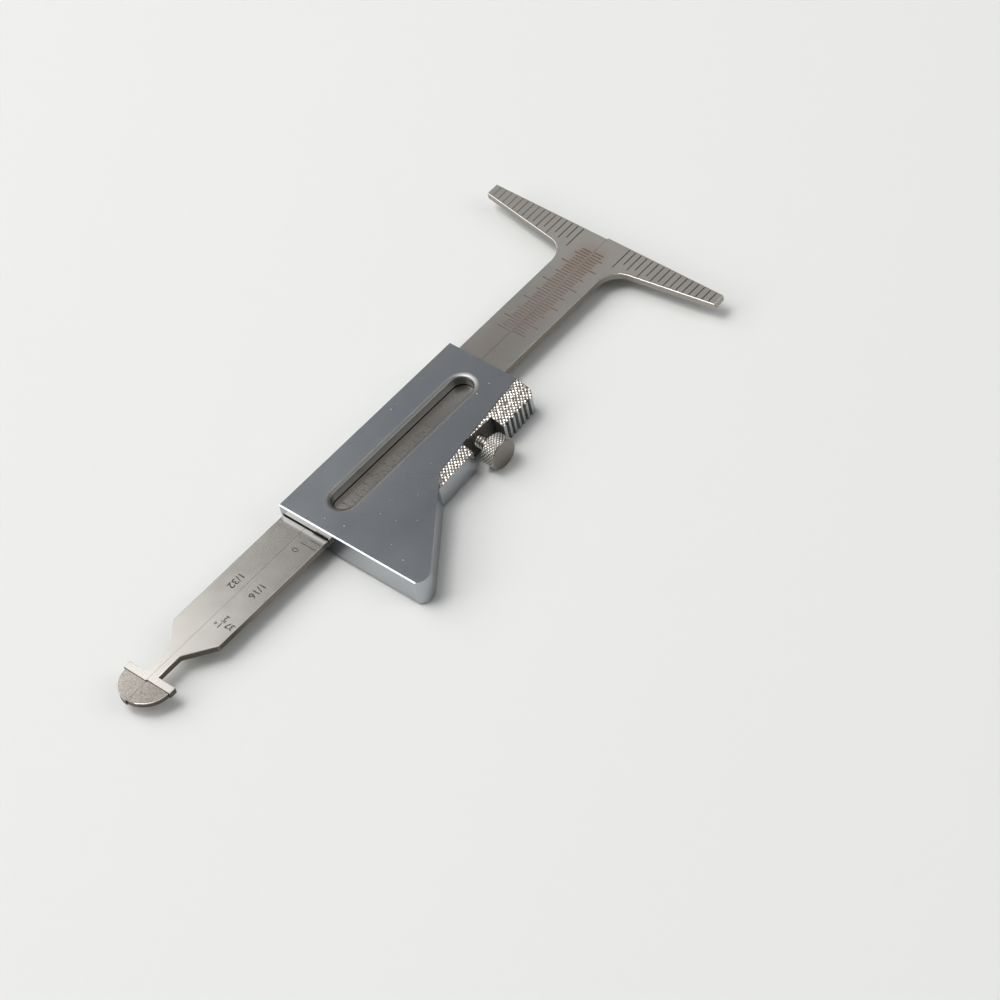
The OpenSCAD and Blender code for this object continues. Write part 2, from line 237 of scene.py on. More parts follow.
# Acid-blackened engraving: the floor of a cut line is dull and holds dirt, black on the head
# but fainter out on its left arm, and browner and worn along the split
def blackenedCut():
    look = {"head": "#5e544e", "tip": "#948a82", "split": "#7a6a60", "worn": "#83786f",
            "zero": "#776d65", "foot": "#5b524b", "speckMm": 0.25}
    material, tree, shader, place = startMaterial("blackened engraving")
    split = addNode(tree, "ShaderNodeSeparateXYZ", {"Vector": place})
    onHead = addNode(tree, "ShaderNodeMapRange", {
        "Value": split.outputs["Y"], "From Min": 90 * mm, "From Max": 94 * mm})
    fading = addNode(tree, "ShaderNodeMapRange", {
        "Value": split.outputs["X"], "From Min": -28 * mm, "From Max": -6 * mm})
    head = addNode(tree, "ShaderNodeMix", {
        "Factor": fading.outputs[0], 6: linear(look["tip"]), 7: linear(look["head"])}, data_type="RGBA")
    tone = addNode(tree, "ShaderNodeMix", {
        "Factor": onHead.outputs[0], 6: linear(look["split"]), 7: head.outputs[2]}, data_type="RGBA")
    rubbed = addNode(tree, "ShaderNodeMapRange", {
        "Value": split.outputs["Y"], "From Min": 62 * mm, "From Max": 88 * mm, "To Min": 1.0, "To Max": 0.0})
    tone = addNode(tree, "ShaderNodeMix", {
        "Factor": rubbed.outputs[0], 6: tone.outputs[2], 7: linear(look["worn"])}, data_type="RGBA")
    outside = addNode(tree, "ShaderNodeMath", {0: split.outputs["Y"], 1: 0.0}, operation="LESS_THAN")
    tone = addNode(tree, "ShaderNodeMix", {
        "Factor": outside.outputs[0], 6: tone.outputs[2], 7: linear(look["zero"])}, data_type="RGBA")
    below = addNode(tree, "ShaderNodeMath", {0: split.outputs["Y"], 1: -12 * mm}, operation="LESS_THAN")
    tone = addNode(tree, "ShaderNodeMix", {
        "Factor": below.outputs[0], 6: tone.outputs[2], 7: linear(look["foot"])}, data_type="RGBA")
    dirt = addNode(tree, "ShaderNodeTexNoise", {
        "Vector": place, "Scale": 1 / (look["speckMm"] * mm), "Detail": 2.0})
    shade = addNode(tree, "ShaderNodeMapRange", {"Value": dirt.outputs["Fac"], "To Min": 0.6, "To Max": 1.3})
    colour = addNode(tree, "ShaderNodeVectorMath", {
        0: tone.outputs[2], "Scale": shade.outputs[0]}, operation="SCALE")
    tree.links.new(colour.outputs[0], shader.inputs["Base Color"])
    shader.inputs["Metallic"].default_value = 0.7
    shader.inputs["Roughness"].default_value = 0.6
    return material


# Burnished edge: the broken edges of the blade are rubbed bright in use, and lightened further as a painted
# highlight, so they draw a thin light line
def burnishedAndHighlightEdge():
    look = {"light": "#dcd9d4", "dark": "#b9b5af", "patchMm": 3}
    material, tree, shader, place = startMaterial("burnished stainless steel")
    patch = addNode(tree, "ShaderNodeTexNoise", {
        "Vector": place, "Scale": 1 / (look["patchMm"] * mm), "Detail": 3.0})
    tone = addNode(tree, "ShaderNodeMix", {
        "Factor": patch.outputs["Fac"], 6: linear(look["dark"]), 7: linear(look["light"])}, data_type="RGBA")
    tree.links.new(tone.outputs[2], shader.inputs["Base Color"])
    shader.inputs["Metallic"].default_value = 1.0
    shader.inputs["Roughness"].default_value = 0.16
    return material


# Wheel-relieved foot: coarse wheel marks on the hollow face, a dull speckled grey
def relievedSteel():
    look = {"light": "#a49e97", "dark": "#736c65", "speckMm": 0.3, "bump": 0.35, "bumpMm": 0.06}
    material, tree, shader, place = startMaterial("wheel-relieved stainless steel")
    speck = addNode(tree, "ShaderNodeTexNoise", {
        "Vector": place, "Scale": 1 / (look["speckMm"] * mm), "Detail": 4.0, "Roughness": 0.75})
    spread = addNode(tree, "ShaderNodeMapRange", {
        "Value": speck.outputs["Fac"], "From Min": 0.34, "From Max": 0.66})
    tone = addNode(tree, "ShaderNodeMix", {
        "Factor": spread.outputs[0], 6: linear(look["dark"]), 7: linear(look["light"])}, data_type="RGBA")
    # a painted reflection makes the foot's left end lighter and its right end darker
    across = addNode(tree, "ShaderNodeSeparateXYZ", {"Vector": place})
    rubbed = addNode(tree, "ShaderNodeMapRange", {
        "Value": across.outputs["X"], "From Min": -4 * mm, "From Max": 4 * mm,
        "To Min": 1.25, "To Max": 0.87})
    tone = addNode(tree, "ShaderNodeVectorMath", {
        0: tone.outputs[2], "Scale": rubbed.outputs[0]}, operation="SCALE")
    tree.links.new(tone.outputs[0], shader.inputs["Base Color"])
    shader.inputs["Metallic"].default_value = 1.0
    rough = addNode(tree, "ShaderNodeMapRange", {"Value": spread.outputs[0], "To Min": 0.42, "To Max": 0.3})
    tree.links.new(rough.outputs[0], shader.inputs["Roughness"])
    bump = addNode(tree, "ShaderNodeBump", {
        "Height": speck.outputs["Fac"], "Strength": look["bump"], "Distance": look["bumpMm"] * mm})
    tree.links.new(bump.outputs["Normal"], shader.inputs["Normal"])
    return material


# Knurled stainless steel: pressed points with bright tips, and roots that hold oil and dirt, the tips partly a
# painted highlight and the roots partly painted shade;
# the height of a point is measured from a flat bed, or from the axis of a round rim
def knurledSteel(name, centre, upward, root, tip, look):
    material, tree, shader, place = startMaterial(name)
    patch = addNode(tree, "ShaderNodeTexNoise", {
        "Vector": place, "Scale": 1 / (look["patchMm"] * mm), "Detail": 2.0})
    tone = addNode(tree, "ShaderNodeMix", {
        "Factor": patch.outputs["Fac"], 6: linear(look["dark"]), 7: linear(look["light"])}, data_type="RGBA")
    offset = addNode(tree, "ShaderNodeVectorMath", {0: place, 1: centre}, operation="SUBTRACT")
    if upward:
        rise = addNode(tree, "ShaderNodeVectorMath", {
            0: offset.outputs[0], 1: upward}, operation="DOT_PRODUCT")
    else:
        around = addNode(tree, "ShaderNodeVectorMath", {
            0: offset.outputs[0], 1: (0, 1, 1)}, operation="MULTIPLY")
        rise = addNode(tree, "ShaderNodeVectorMath", {0: around.outputs[0]}, operation="LENGTH")
    litAndClean = addNode(tree, "ShaderNodeMapRange", {
        "Value": rise.outputs["Value"], "From Min": root, "From Max": tip}, interpolation_type="SMOOTHSTEP")
    colour = addNode(tree, "ShaderNodeMix", {
        "Factor": litAndClean.outputs[0], 6: linear(look["root"]), 7: tone.outputs[2]}, data_type="RGBA")
    tree.links.new(colour.outputs[2], shader.inputs["Base Color"])
    shader.inputs["Metallic"].default_value = 1.0
    rough = addNode(tree, "ShaderNodeMapRange", {
        "Value": patch.outputs["Fac"], "To Min": look["smooth"], "To Max": look["rough"]})
    tree.links.new(rough.outputs[0], shader.inputs["Roughness"])
    return material


# Turned stainless steel: the lathe leaves rings round the screw's axis, warm grey
def turnedSteel(middle, shoulder):
    look = {"light": "#9b958e", "dark": "#7f7973", "thread": "#ddd7d0", "cloudMm": 2.5,
            "ringMm": 0.22, "ringBump": 0.25, "ringDepthMm": 0.02}
    waveRepeat = 0.314  # what one ring of a wave measures at scale 1
    material, tree, shader, place = startMaterial("turned stainless steel")
    centred = addNode(tree, "ShaderNodeMapping", {"Vector": place, "Location": (0, -middle.y, -middle.z)})
    rings = addNode(tree, "ShaderNodeTexWave", {
        "Vector": centred.outputs["Vector"], "Scale": waveRepeat / (look["ringMm"] * mm), "Distortion": 0.6,
        "Detail": 2.0, "Detail Scale": 400.0}, wave_type="RINGS", rings_direction="X")
    cloud = addNode(tree, "ShaderNodeTexNoise", {
        "Vector": place, "Scale": 1 / (look["cloudMm"] * mm), "Detail": 4.0})
    tone = addNode(tree, "ShaderNodeMix", {
        "Factor": cloud.outputs["Fac"], 6: linear(look["dark"]), 7: linear(look["light"])}, data_type="RGBA")
    # the thread, below the head's shoulder, is lighter and smoother; the lighter colour is painted light that
    # lifts it out of the notch's shade
    along = addNode(tree, "ShaderNodeSeparateXYZ", {"Vector": place})
    threaded = addNode(tree, "ShaderNodeMath", {0: along.outputs["X"], 1: shoulder}, operation="LESS_THAN")
    tone = addNode(tree, "ShaderNodeMix", {
        "Factor": threaded.outputs[0], 6: tone.outputs[2], 7: linear(look["thread"])}, data_type="RGBA")
    tree.links.new(tone.outputs[2], shader.inputs["Base Color"])
    shader.inputs["Metallic"].default_value = 1.0
    rough = addNode(tree, "ShaderNodeMapRange", {
        "Value": cloud.outputs["Fac"], "To Min": 0.24, "To Max": 0.4})
    rough = addNode(tree, "ShaderNodeMix", {"Factor": threaded.outputs[0], 2: rough.outputs[0], 3: 0.2})
    tree.links.new(rough.outputs[0], shader.inputs["Roughness"])
    bump = addNode(tree, "ShaderNodeBump", {
        "Height": rings.outputs["Fac"], "Strength": look["ringBump"], "Distance": look["ringDepthMm"] * mm})
    tree.links.new(bump.outputs["Normal"], shader.inputs["Normal"])
    return material


# Milled steel left dark: notch walls and serration flanks keep cutting oil and oxide, and their darkness is
# also painted shade in these recesses
def darkMilledSteel(name, light, dark, rough):
    look = {"streakMm": 0.5}
    material, tree, shader, place = startMaterial(name)
    streak = addNode(tree, "ShaderNodeTexNoise", {
        "Vector": place, "Scale": 1 / (look["streakMm"] * mm), "Detail": 3.0})
    tone = addNode(tree, "ShaderNodeMix", {
        "Factor": streak.outputs["Fac"], 6: linear(dark), 7: linear(light)}, data_type="RGBA")
    tree.links.new(tone.outputs[2], shader.inputs["Base Color"])
    shader.inputs["Metallic"].default_value = 1.0
    shader.inputs["Roughness"].default_value = rough
    return material


def nodeCopy(name):
    # the node's loose triangles, merged, with flat faces made whole again
    bm = bmesh.new()
    bm.from_mesh(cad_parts[name].data)
    bmesh.ops.remove_doubles(bm, verts=bm.verts, dist=touching)
    bmesh.ops.dissolve_limit(bm, angle_limit=flatAngle, verts=bm.verts, edges=bm.edges)
    return bm


def looseObject(bm, name):
    mesh = bpy.data.meshes.new(name)
    bm.to_mesh(mesh)
    bm.free()
    if "custom_normal" in mesh.attributes:
        mesh.attributes.remove(mesh.attributes["custom_normal"])
    obj = bpy.data.objects.new(name, mesh)
    bpy.context.scene.collection.objects.link(obj)
    return obj


def keepPiece(bm, name, materials, body, slotName, *nodes, smooth=34):
    obj = looseObject(bm, name)
    for material in materials:
        obj.data.materials.append(material)
    obj.data.shade_smooth()
    obj.data.set_sharp_from_angle(angle=radians(smooth))
    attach(obj, body)
    if nodes:
        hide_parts(*nodes)
    print("made", name, len(obj.data.polygons), "faces")
    return obj


def breakEdges(obj, width, material=-1):
    # a small round on the edges that carry a bevel weight, in the faces' own material unless one is named
    finish = obj.modifiers.new("broken edges", "BEVEL")
    finish.limit_method = "WEIGHT"
    finish.width = width
    finish.segments = 2
    finish.profile = 0.5
    finish.harden_normals = True
    finish.material = material


def carve(bm, cutter, operation):
    # one solid cut or trimmed by another, given back as a bmesh
    target, tool = looseObject(bm, "target"), looseObject(cutter, "cutter")
    cut = target.modifiers.new("carve", "BOOLEAN")
    cut.operation, cut.solver, cut.object = operation, "EXACT", tool
    done = bpy.data.meshes.new_from_object(target.evaluated_get(bpy.context.evaluated_depsgraph_get()))
    result = bmesh.new()
    result.from_mesh(done)
    for obj in (target, tool):
        bpy.data.objects.remove(obj)
    return result


# the slide body: lengths in mm and angles in degrees, as in every piece below
slide = {"edgeBreak": 0.09, "sharpAngle": 35, "knurlRim": 0.07, "knurlDepth": 0.2, "smooth": 24,
         "windowSide": 10, "lipAbove": 5, "slotSide": 6.5, "slotFloor": 2, "slotTop": 4.3,
         "thumbEdgeLow": 33.2, "thumbEdgeHigh": 52.5, "thumbSide": 13.9, "notchWall": 16.2}
bodySteel = lappedSteel("lapped stainless steel", "#acafb2", "#a5a8ac", 0.175, 0.2)
shadedLipSteel = lappedSteel("rubbed stainless steel", "#8f8e8c", "#807f7d", 0.36, 0.42)  # duller and warmer; its darker tone is painted shade that dims the lip's reflection
shadeAndOxideSteel = darkMilledSteel("dark milled stainless steel", "#8a8681", "#625f5b", 0.55)
flankShadeAndOxideSteel = darkMilledSteel("milled stainless steel", "#7b7975", "#595753", 0.4)  # lighter than the notch's wall; the darkness is partly oxide and partly painted shade
bm = nodeCopy("slide_body")
windowSide = slide["windowSide"] * mm  # the window lies on this side of it, the thumb edge on the other
lip = [f for f in bm.faces if 0.9 < f.normal.z < 0.96 and f.calc_center_median().z > slide["lipAbove"] * mm
       and f.calc_center_median().x < windowSide]
lipSpots = [v.co.copy() for f in lip for v in f.verts]
lipTop, lipFoot = max(p.z for p in lipSpots), min(p.z for p in lipSpots)
ledge = [f for f in bm.faces if 0.93 < f.normal.z < 0.95 and f.normal.x > 0.3
         and f.calc_center_median().x > windowSide]
weight = bm.edges.layers.float.new("bevel_weight_edge")
for edge in bm.edges:
    if edge.is_convex and edge.calc_face_angle(0) > radians(slide["sharpAngle"]):
        onBase = any(f.normal.y < -0.5 and f.normal.z > 0.5 for f in edge.link_faces)
        onLip = all(lipFoot - touching < v.co.z < lipTop - touching and v.co.x < windowSide for v in edge.verts)
        inSlot = any(slide["slotFloor"] * mm < v.co.z < slide["slotTop"] * mm
                     and abs(v.co.x) < slide["slotSide"] * mm for v in edge.verts)
        edge[weight] = 0.0 if onBase or onLip or inSlot or any(f in ledge for f in edge.link_faces) else 1.0
for face in bm.faces:  # 1 is the notch's dark wall, 2 a serration's flank, both darkened partly as painted shade
    spot = face.calc_center_median() / mm
    onThumbEdge = slide["thumbEdgeLow"] < spot.y < slide["thumbEdgeHigh"] and spot.x > slide["thumbSide"]
    if onThumbEdge and abs(face.normal.z) < 0.3:
        if spot.x < slide["notchWall"]:
            face.material_index = 1
        elif 0.5 < abs(face.normal.y) < 0.9:
            face.material_index = 2
slopeNormal = ledge[0].normal.copy()
bmesh.ops.inset_region(bm, faces=ledge, thickness=slide["knurlRim"] * mm, depth=-slide["knurlDepth"] * mm,
                       use_boundary=True, use_even_offset=True)
bm.faces.index_update()
bedFaces = {f.index for f in ledge}
bed = bm.copy()
bmesh.ops.delete(bed, geom=[f for f in bed.faces if f.index not in bedFaces], context="FACES")
body = keepPiece(bm, "slideBody", [bodySteel, shadeAndOxideSteel, flankShadeAndOxideSteel], "body", "body_steel", "slide_body",
                 smooth=slide["smooth"])
for edge in body.data.edges:  # the flat top keeps its own normals beside the round lip
    if all(body.data.vertices[i].co.z > lipTop - touching for i in edge.vertices):
        edge.use_edge_sharp = True
breakEdges(body, slide["edgeBreak"] * mm)

# the window's sloping lip is rubbed to a round, level at the top face and steep at the wall, with a skirt
# below it that ends just over the blade: its outline is run along one side, round the end, back and round
windowLip = {"rows": 9, "endSteps": 28, "bedding": 0.3, "proud": 0.02, "overBlade": 0.22, "footBand": 0.01}
wide = max(p.x for p in lipSpots) - min(p.x for p in lipSpots)
narrow = [p.x for p in lipSpots if p.z < lipFoot + windowLip["footBand"] * mm]
outer, inner = wide / 2, (max(narrow) - min(narrow)) / 2
middleX = min(p.x for p in lipSpots) + outer
ends = min(p.y for p in lipSpots) + outer, max(p.y for p in lipSpots) - outer
bm = bmesh.new()
bends = [i / windowLip["rows"] * pi / 2 for i in range(windowLip["rows"] + 1)]
outline = [(outer - (outer - inner) * sin(t), lipTop - (lipTop - lipFoot) * (1 - cos(t))) for t in bends]
skirt = inner - windowLip["proud"] * mm
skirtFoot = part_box("left_blade")[1].z + windowLip["overBlade"] * mm
bedded = inner + windowLip["bedding"] * mm
outline += [(skirt, lipFoot - windowLip["proud"] * mm), (skirt, skirtFoot), (bedded, skirtFoot),
            (bedded, lipFoot - windowLip["bedding"] * mm)]
row = [bm.verts.new((middleX + r, ends[0], z)) for r, z in outline]
strip = row + [bm.edges.new((row[i - 1], row[i])) for i in range(len(row))]
for far, run in ((ends[1], ends[1] - ends[0]), (ends[0], ends[0] - ends[1])):
    loose = [e for e in strip if isinstance(e, bmesh.types.BMEdge)]
    drawn = bmesh.ops.extrude_edge_only(bm, edges=loose)["geom"]
    drawnVerts = [v for v in drawn if isinstance(v, bmesh.types.BMVert)]
    bmesh.ops.translate(bm, vec=(0, run, 0), verts=drawnVerts)
    drawnEdges = [e for e in drawn if isinstance(e, bmesh.types.BMEdge)
                  and all(v in drawnVerts for v in e.verts)]
    strip = bmesh.ops.spin(bm, geom=drawnVerts + drawnEdges, cent=(middleX, far, 0), axis=(0, 0, 1), angle=pi,
                           steps=windowLip["endSteps"])["geom_last"]
bmesh.ops.remove_doubles(bm, verts=bm.verts, dist=0.002 * mm)
bmesh.ops.recalc_face_normals(bm, faces=bm.faces)
keepPiece(bm, "windowLip", [shadedLipSteel], "body", "body_steel")

# the knurl on the ledge: a field of points, trimmed to the ledge's sunk bed
knurl = {"pitch": 0.66, "height": 0.22, "sunk": 0.06, "jitter": 0.14, "size": 16.0, "turn": 45, "seed": 7,
         "headroom": 0.6, "hem": 1, "litCleanShare": 0.5, "smooth": 5}
bedMiddle = sum((f.calc_center_median() for f in bed.faces), Vector()) / len(bed.faces)
raised = bmesh.ops.extrude_face_region(bed, geom=list(bed.faces))["geom"]
topVerts = [v for v in raised if isinstance(v, bmesh.types.BMVert)]
bmesh.ops.translate(bed, vec=slopeNormal * knurl["headroom"] * mm, verts=topVerts)
bmesh.ops.translate(bed, vec=slopeNormal * -knurl["sunk"] * mm,
                    verts=[v for v in bed.verts if v not in topVerts])
bmesh.ops.recalc_face_normals(bed, faces=bed.faces)
points = bmesh.new()
count = round(2 * knurl["size"] / knurl["pitch"])
bmesh.ops.create_grid(points, x_segments=count, y_segments=count, size=knurl["size"] * mm)
bmesh.ops.rotate(points, cent=(0, 0, 0), matrix=Matrix.Rotation(radians(knurl["turn"]), 3, "Z"),
                 verts=points.verts)
tips = bmesh.ops.poke(points, faces=points.faces, offset=knurl["height"] * mm)["verts"]
dice = random.Random(knurl["seed"])
for tip in tips:
    tip.co += Vector((dice.uniform(-1, 1), dice.uniform(-1, 1), dice.uniform(-1, 0.6))) * knurl["jitter"] * mm
hem = bmesh.ops.extrude_edge_only(points, edges=[e for e in points.edges if e.is_boundary])["geom"]
bmesh.ops.translate(points, vec=(0, 0, -knurl["hem"] * mm),
                    verts=[v for v in hem if isinstance(v, bmesh.types.BMVert)])
bmesh.ops.edgeloop_fill(points, edges=[e for e in points.edges if e.is_boundary])
tilt = slopeNormal.to_track_quat("Z", "Y").to_matrix().to_4x4()
bmesh.ops.transform(points, matrix=Matrix.Translation(bedMiddle) @ tilt, verts=points.verts)
bmesh.ops.recalc_face_normals(points, faces=points.faces)
# the near-white tips and darker roots are partly painted highlight and painted shade
ledgeSteel = knurledSteel("knurled stainless steel", bedMiddle, slopeNormal, 0.0,
                          knurl["litCleanShare"] * knurl["height"] * mm,
                          {"light": "#f4f0e9", "dark": "#c6bfb6", "root": "#8a847d", "patchMm": 0.5,
                           "smooth": 0.26, "rough": 0.4})
keepPiece(carve(points, bed, "INTERSECT"), "knurledLedge", [ledgeSteel], "body", "body_steel",
          smooth=knurl["smooth"])

# the thumb screw: head, end face and thread turned in one, and a knurled rim
screwLow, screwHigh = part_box("thumb_screw")
axisPoint = (screwLow + screwHigh) / 2
screw = {"headLength": 3.3, "chamfer": 0.18, "points": 24, "pointHeight": 0.13, "rows": 4,
         "pitch": 0.635, "crest": 1.42, "root": 1.12, "buried": 0.04, "ridgeShare": 0.46, "threadStart": 0.5,
         "dogPoint": 0.8, "dogLength": 0.3, "steps": 24, "coreSteps": 72,
         "shoulderGap": 0.05, "hem": 0.93, "litCleanShare": 0.6, "smooth": 5}
headRadius = screwHigh.z - axisPoint.z
headStart = screwHigh.x - screw["headLength"] * mm
rootRadius = headRadius - screw["pointHeight"] * mm
bm = bmesh.new()
# half outline of the head and the plain core, turned about the screw's axis
chamfer, coreRadius = screw["chamfer"] * mm, screw["root"] * mm
outline = [(screwLow.x, 0), (screwLow.x, screw["dogPoint"] * mm),
           (screwLow.x + screw["dogLength"] * mm, coreRadius), (headStart, coreRadius),
           (headStart, rootRadius - chamfer), (headStart + chamfer, rootRadius),
           (screwHigh.x - chamfer, rootRadius), (screwHigh.x, rootRadius - chamfer), (screwHigh.x, 0)]
row = [bm.verts.new((x, axisPoint.y, axisPoint.z + r)) for x, r in outline]
edges = [bm.edges.new(pair) for pair in zip(row, row[1:])]
bmesh.ops.spin(bm, geom=row + edges, cent=axisPoint, axis=(1, 0, 0), angle=2 * pi, steps=screw["coreSteps"],
               use_merge=True)
bmesh.ops.remove_doubles(bm, verts=bm.verts, dist=touching)
# the thread: a three-sided ridge run round and along
half = screw["pitch"] * screw["ridgeShare"] * mm
start = screwLow.x + screw["threadStart"] * mm
turns = int((headStart - start) / (screw["pitch"] * mm))
ridgeFoot = screw["root"] - screw["buried"]
ridge = [bm.verts.new((start + x, axisPoint.y, axisPoint.z + r * mm))
         for x, r in ((-half, ridgeFoot), (0, screw["crest"]), (half, ridgeFoot))]
ridgeEdges = [bm.edges.new((ridge[i], ridge[(i + 1) % 3])) for i in range(3)]
bmesh.ops.spin(bm, geom=ridge + ridgeEdges, cent=axisPoint, axis=(1, 0, 0), angle=2 * pi * turns,
               dvec=(screw["pitch"] * mm / screw["steps"], 0, 0), steps=screw["steps"] * turns)
bmesh.ops.holes_fill(bm, edges=[e for e in bm.edges if e.is_boundary], sides=3)
bmesh.ops.recalc_face_normals(bm, faces=bm.faces)
screwSteel = turnedSteel(axisPoint, headStart - screw["shoulderGap"] * mm)
keepPiece(bm, "screwCore", [screwSteel], "screw", "screw_steel", "thumb_screw")

# the rim's knurl: one raised diamond of each row, run round the head
bm = bmesh.new()
bandStart, bandEnd = headStart + chamfer, screwHigh.x - chamfer
cellHalf = (bandEnd - bandStart) / screw["rows"] / 2
sideHalf = rootRadius * tan(pi / screw["points"])
for i in range(2 * screw["rows"] + 2):
    made = bmesh.ops.create_grid(bm, x_segments=1, y_segments=1, size=1.0)["verts"]
    bmesh.ops.rotate(bm, cent=(0, 0, 0), matrix=Matrix.Rotation(pi / 4, 3, "Z"), verts=made)
    bmesh.ops.scale(bm, vec=Vector((cellHalf, sideHalf, 1)) / 2 ** 0.5, verts=made)
    bmesh.ops.translate(bm, vec=(bandStart + i * cellHalf, axisPoint.y, axisPoint.z + rootRadius), verts=made)
    face = made[0].link_faces[0]
    tip = bmesh.ops.poke(bm, faces=[face], offset=screw["pointHeight"] * mm)["verts"]
    bmesh.ops.rotate(bm, cent=axisPoint, matrix=Matrix.Rotation((i % 2) * pi / screw["points"], 3, "X"),
                     verts=made + tip)
    cellEdges = dict.fromkeys(e for v in made for e in v.link_edges)  # each edge once
    cell = made + tip + list(cellEdges) + list(tip[0].link_faces)
    bmesh.ops.spin(bm, geom=cell, cent=axisPoint, axis=(1, 0, 0), angle=2 * pi, steps=screw["points"],
                   use_duplicate=True)
for vert in bm.verts:  # the corners of the diamonds meet on the root circle
    spoke = Vector((0, vert.co.y - axisPoint.y, vert.co.z - axisPoint.z))
    if spoke.length < rootRadius + 0.5 * screw["pointHeight"] * mm:
        vert.co += spoke.normalized() * (rootRadius - spoke.length)
bmesh.ops.remove_doubles(bm, verts=bm.verts, dist=0.004 * mm)
for x, side in ((bandStart, -1), (bandEnd, 1)):
    bmesh.ops.bisect_plane(bm, geom=bm.verts[:] + bm.edges[:] + bm.faces[:], dist=0.0001 * mm,
                           plane_co=(x, 0, 0), plane_no=(side, 0, 0), clear_outer=True)
rim = bmesh.ops.extrude_edge_only(bm, edges=[e for e in bm.edges if e.is_boundary])["geom"]
bmesh.ops.scale(bm, vec=(1, screw["hem"], screw["hem"]), space=Matrix.Translation(-axisPoint),
                verts=[v for v in rim if isinstance(v, bmesh.types.BMVert)])
bmesh.ops.bridge_loops(bm, edges=[e for e in bm.edges if e.is_boundary])
bmesh.ops.recalc_face_normals(bm, faces=bm.faces)
# the near-white tips and black roots are partly painted highlight and painted shade
rimSteel = knurledSteel("rim-knurled stainless steel", axisPoint, None, rootRadius,
                        headRadius - screw["litCleanShare"] * screw["pointHeight"] * mm,
                        {"light": "#fdfaf5", "dark": "#e8e2da", "root": "#120f0d", "patchMm": 0.5,
                         "smooth": 0.28, "rough": 0.4})
keepPiece(bm, "screwKnurl", [rimSteel], "screw", "screw_steel", smooth=screw["smooth"])

# the two half-blades, with their engraved scales and numbers
blade = {"edgeBreak": 0.13, "uprightBreak": 0.4, "sharpAngle": 25, "cutDepth": 0.1, "bold": 0.03,
         "splitGap": 0.055, "splitReach": 0.05, "splitSide": 0.1,
         "deepestCut": 0.12, "shallowest": 0.01, "footRelief": 0.2}
bladeSteel, cutSteel, footSteel, edgeSteelWithHighlight = groundSteel(), blackenedCut(), relievedSteel(), burnishedAndHighlightEdge()
# each number: its text, height of the type in mm, middle in mm and turn in degrees
numbers = {
    "left_blade": [("1/32", 2.4, (-2.5, -18.4), -90)],
    "right_blade": [("1/16", 2.4, (3.1, -18.0), -90), ("37", 2.1, (4.85, -27.85), 180),
                    ("1", 1.9, (2.8, -28.75), 180), ("2", 1.9, (2.8, -26.75), 180),
                    ("°", 2.2, (1.65, -28.2), 180), ("0", 2.2, (2.2, -5.65), -90),
                    ("1", 2.2, (1.6, 18.0), -90)],
}
fractionBar = {"right_blade": (2.8, -27.75, 1.2, 0.2)}  # middle, length and width in mm


def numberCutter(marks, bar, top):
    # the numbers as solids, half sunk in the blade's face
    cutter = bmesh.new()
    for words, size, middle, turn in marks:
        letters = bpy.data.curves.new("letters", "FONT")
        letters.body, letters.size = words, size * mm
        letters.align_x, letters.align_y = "CENTER", "CENTER"
        letters.extrude, letters.offset, letters.resolution_u = blade["cutDepth"] * mm, blade["bold"] * mm, 4
        text = bpy.data.objects.new("letters", letters)
        bpy.context.scene.collection.objects.link(text)
        solid = bpy.data.meshes.new_from_object(text.evaluated_get(bpy.context.evaluated_depsgraph_get()))
        turned = Matrix.Rotation(radians(turn), 4, "Z")
        solid.transform(Matrix.Translation((middle[0] * mm, middle[1] * mm, top)) @ turned)
        cutter.from_mesh(solid)
        bpy.data.objects.remove(text)
    bmesh.ops.remove_doubles(cutter, verts=cutter.verts, dist=0.0005 * mm)
    if bar:
        box = Matrix.Translation((bar[0] * mm, bar[1] * mm, top)) @ Matrix.Diagonal(
            (bar[2] * mm, bar[3] * mm, 2 * blade["cutDepth"] * mm, 1))
        bmesh.ops.create_cube(cutter, size=1, matrix=box)
    return cutter


def halfBlade(node, name, body):
    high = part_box(node)[1]
    bm = carve(nodeCopy(node), numberCutter(numbers[node], fractionBar.get(node), high.z), "DIFFERENCE")
    bmesh.ops.dissolve_limit(bm, angle_limit=flatAngle, verts=bm.verts, edges=bm.edges)
    for vert in bm.verts:  # the halves are lapped together and the split is only a hairline
        if abs(vert.co.x) < blade["splitReach"] * mm:
            vert.co.x *= blade["splitGap"] / 2 * mm / abs(vert.co.x)
    weight = bm.edges.layers.float.new("bevel_weight_edge")
    for face in bm.faces:  # 0 is a ground face, 1 engraving, 2 the relieved foot, 3 the step above it, dark as a painted shadow line
        depths = [high.z - v.co.z for v in face.verts]
        face.material_index = 0
        if max(depths) < blade["deepestCut"] * mm and sum(depths) / len(depths) > blade["shallowest"] * mm:
            face.material_index = 1
        elif face.normal.z > 0.9 and min(depths) > blade["footRelief"] * mm:
            face.material_index = 2
    # the step wall above the relieved foot gets the dark milled steel, a painted shadow line
    stepShadowFaces = [f for f in bm.faces if f.normal.y < -0.9
                 and any(g.material_index == 2 for e in f.edges for g in e.link_faces)]
    for face in stepShadowFaces:
        face.material_index = 3
    for edge in bm.edges:
        if edge.is_convex and edge.calc_face_angle(0) > radians(blade["sharpAngle"]):
            if all(f.material_index not in (1, 3) for f in edge.link_faces):
                onSplit = all(abs(v.co.x) < blade["splitSide"] * mm for v in edge.verts)
                upright = abs(edge.verts[0].co.z - edge.verts[1].co.z) > 0.9 * edge.calc_length()
                edge[weight] = 0.0 if onSplit else blade["uprightBreak"] if upright else 1.0
    finishes = [bladeSteel, cutSteel, footSteel, shadeAndOxideSteel, edgeSteelWithHighlight]
    piece = keepPiece(bm, name, finishes, body, "blade_steel", node)
    breakEdges(piece, blade["edgeBreak"] * mm, material=finishes.index(edgeSteelWithHighlight))


halfBlade("left_blade", "leftHalfBlade", "left")
halfBlade("right_blade", "rightHalfBlade", "right")

